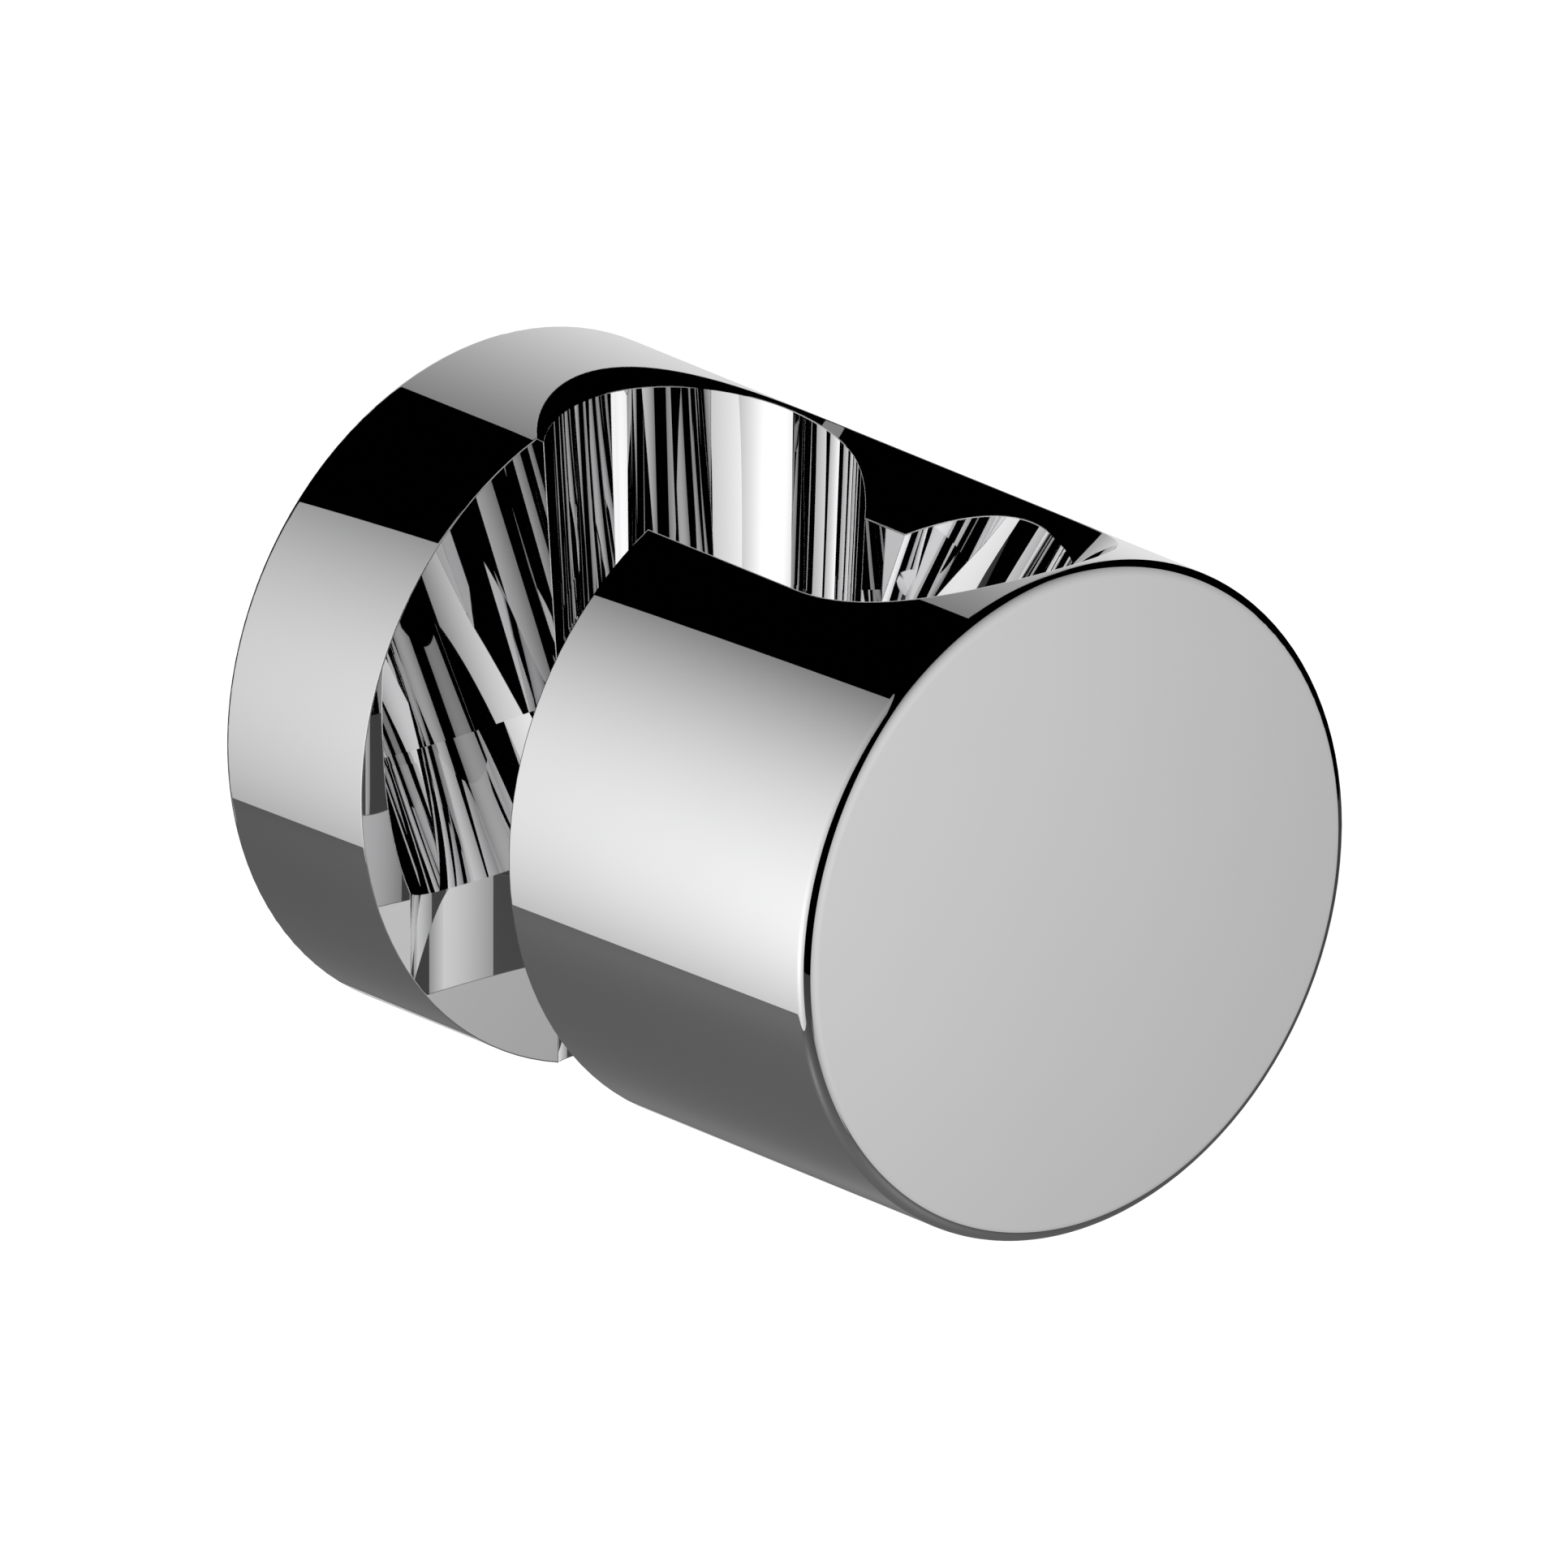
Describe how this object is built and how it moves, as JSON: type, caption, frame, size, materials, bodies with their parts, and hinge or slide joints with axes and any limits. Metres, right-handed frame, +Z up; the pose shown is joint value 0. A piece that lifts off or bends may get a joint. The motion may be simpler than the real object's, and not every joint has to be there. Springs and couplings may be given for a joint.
{
  "type": "hand shower holder",
  "caption": "Round chrome wall holder for a hand shower, with an upright seat, a seat that leans forward and a slot for the hose at the side.",
  "frame": {"origin": "centre of the body's back face, in the wall plane, on the body's axis", "axes": "+Z up, +Y into the wall along the body's axis, the holder stands out to -Y and the hose slot opens to -X"},
  "size_m": [0.05, 0.064, 0.05],
  "materials": {
    "body_chrome": "polished chrome plate",
    "plate_brass": "turned, bare",
    "screw_steel": "machined stainless steel"
  },
  "bodies": {
    "root": {"holder_body": "body_chrome", "mounting_plate": "plate_brass", "set_screw": "screw_steel"}
  },
  "joints": []
}
